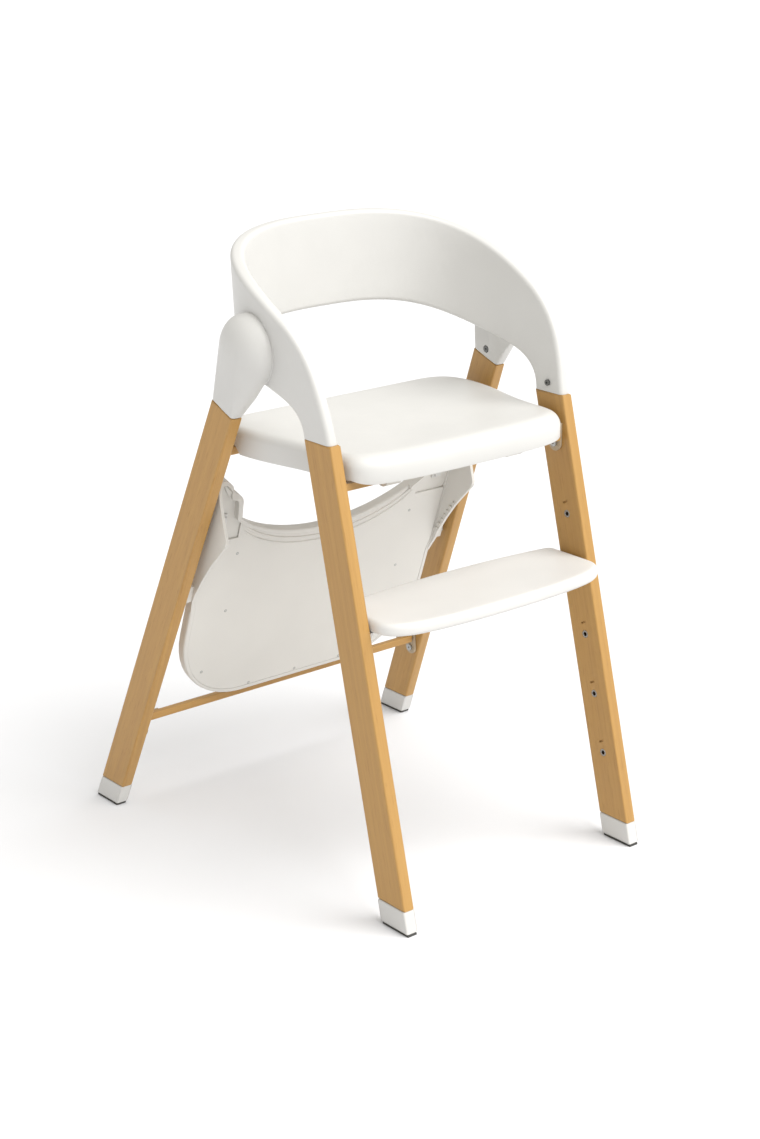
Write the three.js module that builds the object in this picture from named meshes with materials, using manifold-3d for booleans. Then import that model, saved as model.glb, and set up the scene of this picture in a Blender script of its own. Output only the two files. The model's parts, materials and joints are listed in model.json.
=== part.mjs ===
// A folding baby high chair: a white hoop-shaped back and arm shell on four splayed wooden legs,
// a seat shell, an adjustable footrest, and a tray stored between the rear legs.
// Millimetres, +Z up, floor at z = 0, the child faces -Y, and +X is the right-hand side
// for somebody who stands in front of the chair.
import * as THREE from "three";
import { ConvexGeometry } from "three/addons/geometries/ConvexGeometry.js";
import { mergeVertices } from "three/addons/utils/BufferGeometryUtils.js";
import Module from "manifold-3d";

const wasm = await Module();
wasm.setup();

// ---------- driving dimensions ----------

const GAP = 0.3; // clearance between touching pieces

const TOE_Y = -293; // front edge of the front legs at the floor
const HEEL_Y = 243; // front edge of the rear legs at the floor
const FRONT_LEAN = 0.2528; // dy/dz of the front legs
const REAR_LEAN = -0.4035;
const FRONT_OUTER_X = 198.6; // outer face of the front leg at the floor
const REAR_OUTER_X = 261.7;
const FRONT_SPLAY = 0.0043; // how much the outer face comes in for each mm of height
const REAR_SPLAY = 0.064;
const LEG_DEPTH = 50; // along Y
const LEG_THICK = 16.5; // along X
const LEG_ROUND = 2.4; // edge rounding of the wood

const SOLE_TOP = 3;
const SOLE_INSET = 1.2;
const FOOT_CAP_TOP = 31;
const FOOT_CAP = { proud: 0.4, inset: 0.4, round: 1 };
const FRONT_SEAM_Z = 578; // where the wood ends and the hoop's arm begins
const REAR_SEAM_Z = 584;
const REAR_SEAM_RISE = 17; // the rear seam climbs by this much from its front corner to its rear one
const TENON = { depth: 26, thick: 9, length: 32 };

const HOOP_WALL = 16;
const HOOP_TOP = 798;
const HOOP_PLAN = { halfWidth: 206.5, halfDepth: 198.8, centreY: -72, power: 2.85, z: 740 };
const HOOP_FLARE = { arms: 0.05, back: 0.03, from: 40, to: 110 }; // outward lean of the wall per mm of height

const HINGE = { y: -3, z: 668, bossRadius: 44, capRadius: 46, innerX: 204.6, outerX: 232.5 };
const HINGE_PIN = { radius: 5, fromX: 194, toX: 220 };

const FRONT_RAIL = { y: -139.5, z: 525.5, depth: 20, height: 9 };
const FRONT_RAIL_JOURNAL = { from: 86, to: 114, radius: 5 };
const CLIP_WALL = 7.5;
const REAR_SEAT_RAIL = { y: 52, z: 533, depth: 20, height: 10, halfLength: 206 };
const LOWER_RAIL = { y: 205.5, z: 135.3, depth: 9, height: 10, halfLength: 231.5 };
const BRACKET_THICK = 3;
const LIP_THICK = 2.5;

const SEAT = { top: 563, skirt: 529.5, front: -181, rear: 93, wall: 5, round: 9 };

const FOOTREST = { top: 375.7, bottom: 359.5, halfWidth: 179.2, back: -120, front: -253, hole: 348 };
const FLANGE = { gap: 0.7, thick: 5, halfWidth: 15, dropTo: 336 };
const FOOTREST_HOLES = 5;
const HOLE_PITCH = 77; // vertical distance between the footrest holes
const TOP_HOLE_Z = FOOTREST.hole + HOLE_PITCH;
const INSERT = { radius: 5, bore: 2.8, length: 8 };
const SLOT = { above: 15, halfLength: 4, halfWidth: 1.2, depth: 2, slant: -0.5 };

const TRAY_LEAN = THREE.MathUtils.degToRad(18.7);
const TRAY = { footY: 235.9, thick: 14, halfWidth: 205, foot: 150, dip: 403 };
const TRAY_ARM = { inner: 154, outer: 209, top: 517 };
const TRAY_RIM = 7; // width of the rim round the underside
const TRAY_WELL = { from: 418, inner: 150, floor: -2.8 }; // the open end of each arm, which holds its latch
const FIN_THICK = 4.5;
const FIN_SIDE = [
  [312, -6], [312, 0], [345, 6], [375, 15], [402, 25], [446, 46], [454, 46], [520, 4], [520, -6],
];
const ARM_RIB_SIDE = [[404, -6], [404, 0], [418, 5], [484, 5], [498, 0], [498, -6]];
const TRAY_SKIN = 3.5;
const TRAY_PEG = { v: 340, n: -6.5, radius: 4, root: 9, reach: 14 };
const TRAY_LUG = { to: 218, low: 333, high: 357 };
const LATCH = { from: 174, to: 190, low: 438, high: 460, deep: -2.5, face: 2.5 };

const WHITE = { color: 0xf4f3ef, roughness: 0.42, metalness: 0 };
const WARM_WHITE = { color: 0xe9e6de, roughness: 0.5, metalness: 0 };
const BEECH = { color: 0xc99a5b, roughness: 0.5, metalness: 0 };
const RUBBER = { color: 0x45443f, roughness: 0.85, metalness: 0 };
const STEEL = { color: 0xb9b9b6, roughness: 0.3, metalness: 1 };

// ---------- solids ----------

// A closed geometry as a solid that can be cut and joined.
function solid(geometry) {
  const bare = geometry.clone();
  for (const name of Object.keys(bare.attributes)) {
    if (name !== "position") bare.deleteAttribute(name);
  }
  const merged = mergeVertices(bare, 1e-4);
  return new wasm.Manifold(
    new wasm.Mesh({
      numProp: 3,
      vertProperties: new Float32Array(merged.attributes.position.array),
      triVerts: new Uint32Array(merged.index.array),
    }),
  );
}

function geometryOf(body) {
  const mesh = body.getMesh();
  return new THREE.BufferGeometry()
    .setAttribute("position", new THREE.BufferAttribute(new Float32Array(mesh.vertProperties), 3))
    .setIndex(new THREE.BufferAttribute(new Uint32Array(mesh.triVerts), 1));
}

// Moves every vertex of a geometry by a function of its position.
function bend(geometry, move) {
  const places = geometry.attributes.position;
  const point = new THREE.Vector3();
  for (let i = 0; i < places.count; i += 1) {
    point.fromBufferAttribute(places, i);
    move(point);
    places.setXYZ(i, point.x, point.y, point.z);
  }
  return geometry;
}

const shapeOf = (points) => new THREE.Shape(points.map(([a, b]) => new THREE.Vector2(a, b)));

// Extrudes a shape from one level to another; round takes that much off both rims.
function extrude(shape, from, to, round = 0, steps = 2) {
  const geometry = new THREE.ExtrudeGeometry(shape, {
    depth: to - from - 2 * round,
    curveSegments: 10,
    bevelEnabled: round > 0,
    bevelThickness: round,
    bevelSize: round,
    bevelOffset: -round,
    bevelSegments: steps,
  });
  return geometry.translate(0, 0, from + round);
}

const ALONG_X = new THREE.Matrix4().makeBasis(
  new THREE.Vector3(0, 1, 0),
  new THREE.Vector3(0, 0, 1),
  new THREE.Vector3(1, 0, 0),
);

// A side outline in (y, z) with a thickness along X.
const plateX = (shape, from, to, round = 0, steps = 2) =>
  extrude(shape, from, to, round, steps).applyMatrix4(ALONG_X);

function block(x0, x1, y0, y1, z0, z1) {
  const geometry = new THREE.BoxGeometry(x1 - x0, y1 - y0, z1 - z0);
  return geometry.translate((x0 + x1) / 2, (y0 + y1) / 2, (z0 + z1) / 2);
}

// A round bar along X.
function rodX(x0, x1, y, z, radius, sides = 20) {
  const geometry = new THREE.CylinderGeometry(radius, radius, x1 - x0, sides);
  return geometry.rotateZ(Math.PI / 2).translate((x0 + x1) / 2, y, z);
}

const asSolid = (piece) => (piece.isBufferGeometry ? solid(piece) : piece);
const union = (...pieces) => pieces.map(asSolid).reduce((a, b) => a.add(b));
const cut = (body, ...pieces) => pieces.map(asSolid).reduce((a, b) => a.subtract(b), body);

// A right-hand solid joined with its mirror image.
const both = (body) => body.add(body.mirror([1, 0, 0]));

// ---------- the two leg frames ----------
// Leg pieces are drawn with x = 0 on the leg's outer face, then leaned in with the splay.

const frontY = (z) => TOE_Y + FRONT_LEAN * z;
const rearY = (z) => HEEL_Y + REAR_LEAN * z;
const frontInnerX = (z) => FRONT_OUTER_X - FRONT_SPLAY * z - LEG_THICK;

const FRONT = { edge: frontY, outer: FRONT_OUTER_X, splay: FRONT_SPLAY, seam: FRONT_SEAM_Z, rise: 0 };
const REAR = { edge: rearY, outer: REAR_OUTER_X, splay: REAR_SPLAY, seam: REAR_SEAM_Z, rise: REAR_SEAM_RISE };

const onLeg = (leg, geometry) =>
  bend(geometry, (p) => {
    p.x += leg.outer - leg.splay * p.z;
  });

// The side outline of a length of leg between two heights; rise lifts its upper rear corner.
function legOutline(leg, from, to, inset = 0, rise = 0) {
  const high = to + rise * (1 - inset / LEG_DEPTH);
  const low = to + (rise * inset) / LEG_DEPTH;
  return shapeOf([
    [leg.edge(from) + inset, from],
    [leg.edge(from) + LEG_DEPTH - inset, from],
    [leg.edge(high) + LEG_DEPTH - inset, high],
    [leg.edge(low) + inset, low],
  ]);
}

// The tongue on top of a leg, or with a clearance the pocket that takes it.
function tenon(leg, clearance = 0) {
  const inset = (LEG_DEPTH - TENON.depth) / 2 - clearance;
  const side = (LEG_THICK - TENON.thick) / 2 - clearance;
  const outline = legOutline(leg, leg.seam - 6, leg.seam + TENON.length + clearance, inset);
  return onLeg(leg, plateX(outline, -LEG_THICK + side, -side));
}

// A round hole or pin across a leg, square to its inner face, x counted from the outer face.
const across = (leg, x0, x1, y, z, radius, sides = 16) => {
  const geometry = rodX(x0, x1, y, z, radius, sides);
  return geometry.translate(leg.outer - leg.splay * z, 0, 0);
};

// ---------- legs and feet ----------

// A leg with rounded edges and square ends.
function woodLeg(leg, holes) {
  const from = FOOT_CAP_TOP + GAP;
  const to = leg.seam - GAP;
  const outline = legOutline(leg, from, to, 0, leg.rise);
  const blank = onLeg(leg, plateX(outline, -LEG_THICK, 0, LEG_ROUND));
  const core = legOutline(leg, from, to, LEG_ROUND, leg.rise);
  const ends = onLeg(leg, plateX(core, -LEG_THICK + 1, -1));
  return cut(union(blank, ends, tenon(leg)), ...holes);
}

function footCap(leg) {
  const { proud, inset, round } = FOOT_CAP;
  const outline = legOutline(leg, SOLE_TOP + GAP, FOOT_CAP_TOP, inset);
  return onLeg(leg, plateX(outline, -LEG_THICK - proud, proud, round, 1));
}

function footSole(leg) {
  const outline = legOutline(leg, 0, SOLE_TOP, SOLE_INSET);
  return onLeg(leg, plateX(outline, -LEG_THICK + SOLE_INSET, -SOLE_INSET));
}

const holeZ = (index) => TOP_HOLE_Z - index * HOLE_PITCH;
const holeY = (z) => frontY(z) + LEG_DEPTH / 2;
const footrestHoles = Array.from({ length: FOOTREST_HOLES }, (_, index) => holeZ(index));

// The slanted locating slot above each footrest hole.
function locatingSlot(z) {
  const { above, halfLength, halfWidth, depth, slant } = SLOT;
  const slot = block(-LEG_THICK - 1, depth - LEG_THICK, -halfLength, halfLength, -halfWidth, halfWidth);
  slot.rotateX(slant).translate(FRONT.outer - FRONT.splay * z, holeY(z + above), z + above);
  return slot;
}

function insertPocket(z) {
  const end = -LEG_THICK + INSERT.length + GAP;
  return across(FRONT, -LEG_THICK - 1, end, holeY(z), z, INSERT.radius + GAP);
}

function threadedInsert(z) {
  const body = across(FRONT, -LEG_THICK, -LEG_THICK + INSERT.length, holeY(z), z, INSERT.radius);
  const bore = across(FRONT, -LEG_THICK - 1, -LEG_THICK + INSERT.length + 1, holeY(z), z, INSERT.bore, 12);
  return cut(solid(body), bore);
}

// ---------- screws ----------

const SCREW = { head: 5, headLength: 2.6, shank: 2.6, socket: 1.6 };

// A pan-head screw whose head sits inside the leg's inner face; x counts from the outer face.
function screw(leg, y, z, headFrom, tip, head = SCREW.head) {
  const body = union(
    across(leg, headFrom - SCREW.headLength, headFrom, y, z, head, 18),
    across(leg, headFrom - 0.5, tip, y, z, SCREW.shank, 12),
  );
  return cut(body, across(leg, headFrom - SCREW.headLength - 1, headFrom - 1.2, y, z, SCREW.socket, 6));
}

const screwHole = (leg, y, z, from, to) => across(leg, from, to, y, z, SCREW.shank + GAP, 12);

// Where the screws through the hoop and the sockets sit in the legs' tongues.
const SOCKET_FRONT = { y: frontY(590) + LEG_DEPTH / 2, z: 590, seat: -LEG_THICK + 2 };
const SOCKET_REAR = { y: rearY(604) + LEG_DEPTH / 2, z: 604, seat: -LEG_THICK + 1 };
const socketScrew = (leg, { y, z, seat }) => screw(leg, y, z, seat - GAP, -5, 4);

// ---------- the hoop ----------

// The hoop's plan: straight arms, then a squared-off round back.
function hoopPlan(inset) {
  const { halfWidth, halfDepth, centreY, power } = HOOP_PLAN;
  const points = [[halfWidth - inset, TOE_Y]];
  const steps = 40;
  for (let i = 0; i <= steps; i += 1) {
    const angle = (Math.PI * i) / steps;
    const c = Math.cos(angle);
    const s = Math.sin(angle);
    points.push([
      (halfWidth - inset) * Math.sign(c) * Math.abs(c) ** (2 / power),
      centreY + (halfDepth - inset) * s ** (2 / power),
    ]);
  }
  points.push([inset - halfWidth, TOE_Y]);
  return shapeOf(points);
}

// The full block inside the hoop's outer or inner surface, leaning outwards with height.
function hoopBlock(inset, from, to) {
  return bend(extrude(hoopPlan(inset), from, to), (p) => {
    const { arms, back, from: start, to: end } = HOOP_FLARE;
    const flare = THREE.MathUtils.lerp(arms, back, THREE.MathUtils.smoothstep(p.y, start, end));
    const scale = 1 + (flare * (p.z - HOOP_PLAN.z)) / HOOP_PLAN.halfWidth;
    p.x *= scale;
    p.y = HOOP_PLAN.centreY + (p.y - HOOP_PLAN.centreY) * scale;
  });
}

// Seen from the side: the arm rises off the front leg, turns back and ends as the back's upper rim.
function hoopSide() {
  const seamFront = frontY(FRONT_SEAM_Z);
  const shape = new THREE.Shape();
  shape.moveTo(seamFront, FRONT_SEAM_Z);
  shape.bezierCurveTo(-130, 650, -115, 681, -72.6, 708.6);
  shape.bezierCurveTo(-20, 741, 60, HOOP_TOP - 24, 132, HOOP_TOP);
  shape.lineTo(160, HOOP_TOP);
  shape.lineTo(160, 679);
  shape.lineTo(122, 677);
  shape.bezierCurveTo(92, 668, 40, 642, -24, 629);
  shape.bezierCurveTo(-60, 620, -93, 612, seamFront + LEG_DEPTH + 1, FRONT_SEAM_Z);
  return shape;
}

function hoop() {
  const low = FRONT_SEAM_Z - 20;
  const high = HOOP_TOP + 20;
  const boss = solid(rodX(170, HINGE.innerX - GAP, HINGE.y, HINGE.z, HINGE.bossRadius, 40));
  const full = union(hoopBlock(0, low, high), both(boss));
  const wall = cut(full, hoopBlock(HOOP_WALL, low - 1, high + 1));
  const band = wall.intersect(solid(plateX(hoopSide(), -300, 300)));
  const pocket = tenon(FRONT, GAP);
  const pin = rodX(HINGE_PIN.fromX - GAP, 240, HINGE.y, HINGE.z, HINGE_PIN.radius + GAP);
  const hole = screwHole(FRONT, SOCKET_FRONT.y, SOCKET_FRONT.z, -LEG_THICK - 30, -LEG_THICK / 2);
  const sink = across(FRONT, -60, SOCKET_FRONT.seat, SOCKET_FRONT.y, SOCKET_FRONT.z, 4.6);
  return cut(band, both(union(pocket, pin, hole, sink)));
}

// ---------- rear leg sockets, round the hinge ----------

function hingeCap() {
  const points = [];
  const sides = 36;
  const rings = [
    [HINGE.innerX, HINGE.capRadius],
    [HINGE.innerX + 9, HINGE.capRadius - 0.5],
    [HINGE.innerX + 17, HINGE.capRadius - 6],
    [HINGE.innerX + 23.5, HINGE.capRadius - 15],
    [HINGE.outerX, HINGE.capRadius - 28],
  ];
  for (const [x, radius] of rings) {
    for (let i = 0; i < sides; i += 1) {
      const angle = (2 * Math.PI * i) / sides;
      const [y, z] = [radius * Math.cos(angle), radius * Math.sin(angle)];
      points.push(new THREE.Vector3(x, HINGE.y + y, HINGE.z + z));
    }
  }
  const low = new THREE.Vector3(0, rearY(REAR_SEAM_Z), REAR_SEAM_Z);
  const highZ = REAR_SEAM_Z + REAR_SEAM_RISE;
  const high = new THREE.Vector3(0, rearY(highZ) + LEG_DEPTH, highZ);
  const seamEdges = [[0.3, 4], [-2, 1], [-5, 0], [2 - LEG_THICK, 0], [-0.3 - LEG_THICK, 3]];
  for (const [x, inset] of seamEdges) {
    for (const t of [inset / LEG_DEPTH, 1 - inset / LEG_DEPTH]) {
      const point = low.clone().lerp(high, t);
      point.x = REAR_OUTER_X - REAR_SPLAY * point.z + x;
      points.push(point);
    }
  }
  const bore = rodX(180, HINGE_PIN.toX + GAP, HINGE.y, HINGE.z, HINGE_PIN.radius + GAP);
  const hole = screwHole(REAR, SOCKET_REAR.y, SOCKET_REAR.z, -60, -LEG_THICK / 2);
  const sink = across(REAR, -60, SOCKET_REAR.seat, SOCKET_REAR.y, SOCKET_REAR.z, 5);
  return cut(solid(new ConvexGeometry(points)), bore, tenon(REAR, GAP), hole, sink);
}

const hingePin = () => rodX(HINGE_PIN.fromX, HINGE_PIN.toX, HINGE.y, HINGE.z, HINGE_PIN.radius);

// ---------- rails and their brackets ----------

function frontSeatRail() {
  const { y, z, depth, height } = FRONT_RAIL;
  const { from, to, radius } = FRONT_RAIL_JOURNAL;
  const end = frontInnerX(z) - BRACKET_THICK - 3 * GAP;
  const bar = (x0, x1) => block(x0, x1, y - depth / 2, y + depth / 2, z - height / 2, z + height / 2);
  return union(
    bar(-end, -to),
    bar(-from, from),
    bar(to, end),
    rodX(-to - 1, -from + 1, y, z, radius),
    rodX(from - 1, to + 1, y, z, radius),
  );
}

function plainRail({ y, z, depth, height, halfLength }) {
  const outline = shapeOf([
    [y - depth / 2, z - height / 2],
    [y + depth / 2, z - height / 2],
    [y + depth / 2, z + height / 2],
    [y - depth / 2, z + height / 2],
  ]);
  return plateX(outline, -halfLength, halfLength, 1.5, 1);
}

const BRACKETS = {
  front: { leg: FRONT, rail: FRONT_RAIL, tabY: -138, boltZ: 515.5, top: 543, round: 10.5, lip: 26 },
  seat: { leg: REAR, rail: REAR_SEAT_RAIL, tabY: 55, boltZ: 513, top: 538, round: 10, lip: 10 },
  lower: { leg: REAR, rail: LOWER_RAIL, tabY: 210, boltZ: 119, top: 141, round: 10, lip: 26 },
};

// A plate on the leg's inner face with a round tab under the rail, and a lip behind the rail.
function bracket({ leg, rail, tabY, boltZ, top, round, lip }) {
  const shape = new THREE.Shape();
  shape.moveTo(tabY + round, boltZ);
  shape.lineTo(tabY + round, top);
  shape.lineTo(tabY - round, top);
  shape.lineTo(tabY - round, boltZ);
  shape.absarc(tabY, boltZ, round, Math.PI, 2 * Math.PI, false);
  const inner = -LEG_THICK - GAP;
  const plate = onLeg(leg, plateX(shape, inner - BRACKET_THICK, inner));
  const lipY = rail.y + rail.depth / 2 + GAP;
  const low = rail.z - rail.height / 2;
  const high = rail.z + rail.height / 2;
  const back = onLeg(leg, block(inner - lip, inner - 1, lipY, lipY + LIP_THICK, low, high));
  const web = onLeg(leg, block(inner - BRACKET_THICK, inner, tabY, lipY + LIP_THICK, low, high));
  const hole = screwHole(leg, tabY, boltZ, inner - 20, inner + 5);
  return cut(union(plate, back, web), hole);
}

function bracketBolt({ leg, tabY, boltZ }) {
  return screw(leg, tabY, boltZ, -LEG_THICK - 2 * GAP - BRACKET_THICK, -7);
}

const boltHole = ({ leg, tabY, boltZ }) => screwHole(leg, tabY, boltZ, -LEG_THICK - 5, -6);

// ---------- seat ----------

function seatOutline(inset) {
  const front = SEAT.front + inset;
  const rear = SEAT.rear - inset;
  const shape = new THREE.Shape();
  shape.moveTo(0, front);
  shape.bezierCurveTo(60, front, 110, front + 1, 138 - inset, front + 8);
  shape.bezierCurveTo(160 - inset, front + 14, 172 - inset, -160, 173 - inset, -138);
  shape.bezierCurveTo(174 - inset, -110, 175 - inset, -95, 177 - inset, -80);
  shape.bezierCurveTo(182 - inset, -45, 194 - inset, -20, 196 - inset, 30);
  shape.bezierCurveTo(196 - inset, 72 - inset, 180 - inset, rear - 2, 140 - inset, rear);
  shape.lineTo(0, rear);
  return shape;
}

// A right-hand half outline that starts and ends on x = 0, closed with its mirror image.
function mirrored(half, divisions = 14) {
  const right = half.getPoints(divisions);
  const left = right.slice(1, -1).reverse();
  return new THREE.Shape([...right, ...left.map((p) => new THREE.Vector2(-p.x, p.y))]);
}

const SEAT_FLOOR = SEAT.top - 7; // underside of the seat's top skin

function seatShell() {
  const blank = extrude(mirrored(seatOutline(0)), SEAT.skirt - 25, SEAT.top, SEAT.round, 3);
  const below = block(-250, 250, -250, 250, SEAT.skirt - 60, SEAT.skirt);
  const hollow = extrude(mirrored(seatOutline(SEAT.wall)), SEAT.skirt - 20, SEAT_FLOOR);
  const { y, z, depth, height } = REAR_SEAT_RAIL;
  const roof = z + height / 2 + 1.5;
  const railNotch = plateX(
    shapeOf([
      [y + depth / 2 + 2, SEAT.skirt - 10],
      [y + depth / 2 + 2, roof],
      [y - depth / 2 - 1, roof],
      [y - depth / 2 - 22, SEAT.skirt - 10],
    ]),
    -250,
    250,
  );
  const bar = FRONT_RAIL;
  const barRoof = bar.z + bar.height / 2 + 4;
  const barNotch = plateX(
    shapeOf([
      [bar.y + 32, SEAT.skirt - 10],
      [bar.y + 32, SEAT.skirt - 2],
      [bar.y + 16, barRoof],
      [bar.y - 14, barRoof],
      [bar.y - 34, SEAT.skirt - 2],
      [bar.y - 34, SEAT.skirt - 10],
    ]),
    -250,
    250,
  );
  const sides = union(block(150, 250, -250, 250, 500, 600), block(-250, -150, -250, 250, 500, 600));
  const notches = union(railNotch, barNotch).intersect(sides);
  return cut(solid(blank), below, hollow, notches);
}

// A clip under the seat that rides on the front rail's round journal.
function seatClip() {
  const { y, z } = FRONT_RAIL;
  const { from, to, radius } = FRONT_RAIL_JOURNAL;
  const ring = rodX(from + 2, to - 2, y, z, radius + CLIP_WALL, 24);
  const post = block(from + 2, to - 2, y - 7, y + 7, z, SEAT_FLOOR - GAP);
  const bore = rodX(from - 5, to + 5, y, z, radius + GAP, 24);
  return cut(union(ring, post), bore);
}

// ---------- footrest ----------

function footrestBoard() {
  const { halfWidth, back, front, top, bottom } = FOOTREST;
  const half = new THREE.Shape();
  half.moveTo(0, front);
  half.bezierCurveTo(60, front, 110, front + 3, 142, front + 10);
  half.bezierCurveTo(164, front + 16, halfWidth, front + 27, halfWidth, front + 45);
  half.lineTo(halfWidth, back - 26);
  half.quadraticCurveTo(halfWidth, back - 13, halfWidth - 14, back - 11);
  half.bezierCurveTo(120, back - 4, 60, back, 0, back);
  return solid(extrude(mirrored(half), bottom, top, 5, 3));
}

function footrestFlange() {
  const y = holeY(FOOTREST.hole);
  const shape = new THREE.Shape();
  shape.moveTo(y + FLANGE.halfWidth, FOOTREST.bottom - GAP);
  shape.lineTo(y - FLANGE.halfWidth - 6, FOOTREST.bottom - GAP);
  shape.lineTo(y - 8, FLANGE.dropTo);
  shape.lineTo(y + 8, FLANGE.dropTo);
  const inner = -LEG_THICK - FLANGE.gap;
  const plate = onLeg(FRONT, plateX(shape, inner - FLANGE.thick, inner));
  return cut(solid(plate), screwHole(FRONT, y, FOOTREST.hole, inner - 20, inner + 5));
}

// Its tip stops short of the leg, so that the board can slide from hole to hole.
function footrestScrew() {
  const inner = -LEG_THICK - FLANGE.gap;
  return screw(FRONT, holeY(FOOTREST.hole), FOOTREST.hole, inner - FLANGE.thick - GAP, inner + 0.1);
}

// ---------- tray ----------
// The tray is drawn flat: x across, y up its length and z out of its underside.

const trayFrame = new THREE.Matrix4()
  .makeBasis(
    new THREE.Vector3(1, 0, 0),
    new THREE.Vector3(0, -Math.sin(TRAY_LEAN), Math.cos(TRAY_LEAN)),
    new THREE.Vector3(0, -Math.cos(TRAY_LEAN), -Math.sin(TRAY_LEAN)),
  )
  .setPosition(0, TRAY.footY, 0);

function trayHalf(inset) {
  const side = TRAY.halfWidth - inset;
  const outer = TRAY_ARM.outer - inset;
  const inner = TRAY_ARM.inner + inset;
  const top = TRAY_ARM.top - inset;
  const dip = TRAY.dip - inset;
  const half = new THREE.Shape();
  half.moveTo(0, TRAY.foot + inset);
  half.lineTo(90, TRAY.foot + inset);
  half.bezierCurveTo(145, TRAY.foot + inset, side, 195, side, 268);
  half.lineTo(side, TRAY_LUG.low - 18);
  half.lineTo(outer, TRAY_LUG.low);
  half.lineTo(outer, 478);
  half.bezierCurveTo(outer, 500, 208 - inset, top, 195, top);
  half.bezierCurveTo(182 + inset, top, 180 + inset, 497, 170 + inset, 492 - inset);
  half.bezierCurveTo(162 + inset, 489 - inset, inner + 3, 482, inner + 3, 474);
  half.lineTo(inner, 450);
  half.bezierCurveTo(128, 428 - inset, 70, dip, 0, dip);
  return half;
}

// The part of the wall round the tray that lies between two x and has the given side outline.
function trayWall(thick, side, from, to) {
  const full = solid(extrude(mirrored(trayHalf(0)), -TRAY.thick / 2, 60));
  const wall = cut(full, extrude(mirrored(trayHalf(thick)), -TRAY.thick, 80));
  return wall.intersect(solid(plateX(shapeOf(side), from, to)));
}

function trayShell() {
  const outline = mirrored(trayHalf(0));
  const base = solid(extrude(outline, -TRAY.thick, 0, 3, 2));
  const recess = solid(extrude(mirrored(trayHalf(TRAY_RIM)), TRAY_SKIN - TRAY.thick, 30));
  const fin = trayWall(FIN_THICK, FIN_SIDE, 184, TRAY_ARM.outer + 1);
  const rib = trayWall(TRAY_RIM, ARM_RIB_SIDE, TRAY_ARM.inner - 20, 176);
  const wellFloor = solid(extrude(mirrored(trayHalf(FIN_THICK)), TRAY_SKIN - TRAY.thick - 1, TRAY_WELL.floor))
    .intersect(solid(block(TRAY_WELL.inner, 300, TRAY_WELL.from - 4, 600, -30, 30)));
  const lug = block(TRAY_ARM.outer - 2, TRAY_LUG.to, TRAY_LUG.low, TRAY_LUG.high, -13, 2);
  const lugSeat = block(
    TRAY_ARM.outer + 0.01,
    TRAY_LUG.to + 10,
    TRAY_LUG.low - 10,
    TRAY_PEG.v + TRAY_PEG.radius + GAP,
    TRAY_PEG.n - TRAY_PEG.radius - 2 * GAP,
    TRAY_PEG.n + TRAY_PEG.radius + 2 * GAP,
  );
  return cut(base, recess).add(both(union(fin, rib, wellFloor, cut(solid(lug), lugSeat))));
}

// The flush cover of the recess, open over the arms' wells.
function trayPanel() {
  const sheet = solid(extrude(mirrored(trayHalf(TRAY_RIM + GAP)), -2.5, -GAP));
  const well = block(TRAY_WELL.inner, 300, TRAY_WELL.from, 600, -30, 30);
  return cut(sheet, both(solid(well)));
}

const trayLatch = () =>
  union(
    block(LATCH.from, LATCH.to, LATCH.low, LATCH.high, LATCH.deep, LATCH.face - 3),
    block(LATCH.from + 3, LATCH.to - 3, LATCH.low + 3, LATCH.high - 3, LATCH.face - 4, LATCH.face),
  );

const PEG_AT = new THREE.Vector3(0, TRAY_PEG.v, TRAY_PEG.n).applyMatrix4(trayFrame);

// The peg on the rear leg that carries the tray; a clearance turns its root into the hole for it.
function trayPeg(clearance = 0) {
  const { root, reach, radius } = TRAY_PEG;
  const end = -LEG_THICK + root + clearance;
  return across(REAR, -LEG_THICK - reach, end, PEG_AT.y, PEG_AT.z, radius + clearance, 20);
}

// ---------- the assembly ----------

const chair = new THREE.Group();
const leftSide = new THREE.Group();
leftSide.scale.x = -1;
chair.add(leftSide);

function named(name, body, look, parent = chair) {
  const geometry = body.isBufferGeometry ? body : geometryOf(body);
  const mesh = new THREE.Mesh(geometry, new THREE.MeshStandardMaterial(look));
  mesh.name = name;
  parent.add(mesh);
  return mesh;
}

// Builds a right-hand piece and its mirror image on the left.
function pair(name, body, look, frame) {
  for (const [side, parent] of [["right", chair], ["left", leftSide]]) {
    const mesh = named(`${name}_${side}`, body, look, parent);
    if (frame) mesh.applyMatrix4(frame);
  }
}

named("hoop_back", hoop(), WHITE);
pair("hinge_pin", hingePin(), STEEL);
pair("rear_leg_socket", hingeCap(), WHITE);

const frontLegHoles = footrestHoles.flatMap((z) => [insertPocket(z), locatingSlot(z)]);
frontLegHoles.push(boltHole(BRACKETS.front), screwHole(FRONT, SOCKET_FRONT.y, SOCKET_FRONT.z, -60, -4));
const rearLegHoles = [boltHole(BRACKETS.seat), boltHole(BRACKETS.lower), trayPeg(GAP)];
rearLegHoles.push(screwHole(REAR, SOCKET_REAR.y, SOCKET_REAR.z, -60, -4));
pair("front_leg", woodLeg(FRONT, frontLegHoles), BEECH);
pair("rear_leg", woodLeg(REAR, rearLegHoles), BEECH);
for (const [end, leg] of [["front", FRONT], ["rear", REAR]]) {
  pair(`${end}_foot_cap`, footCap(leg), WHITE);
  pair(`${end}_foot_sole`, footSole(leg), RUBBER);
}
footrestHoles.forEach((z, index) => pair(`footrest_insert_${index + 1}`, threadedInsert(z), STEEL));

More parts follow.
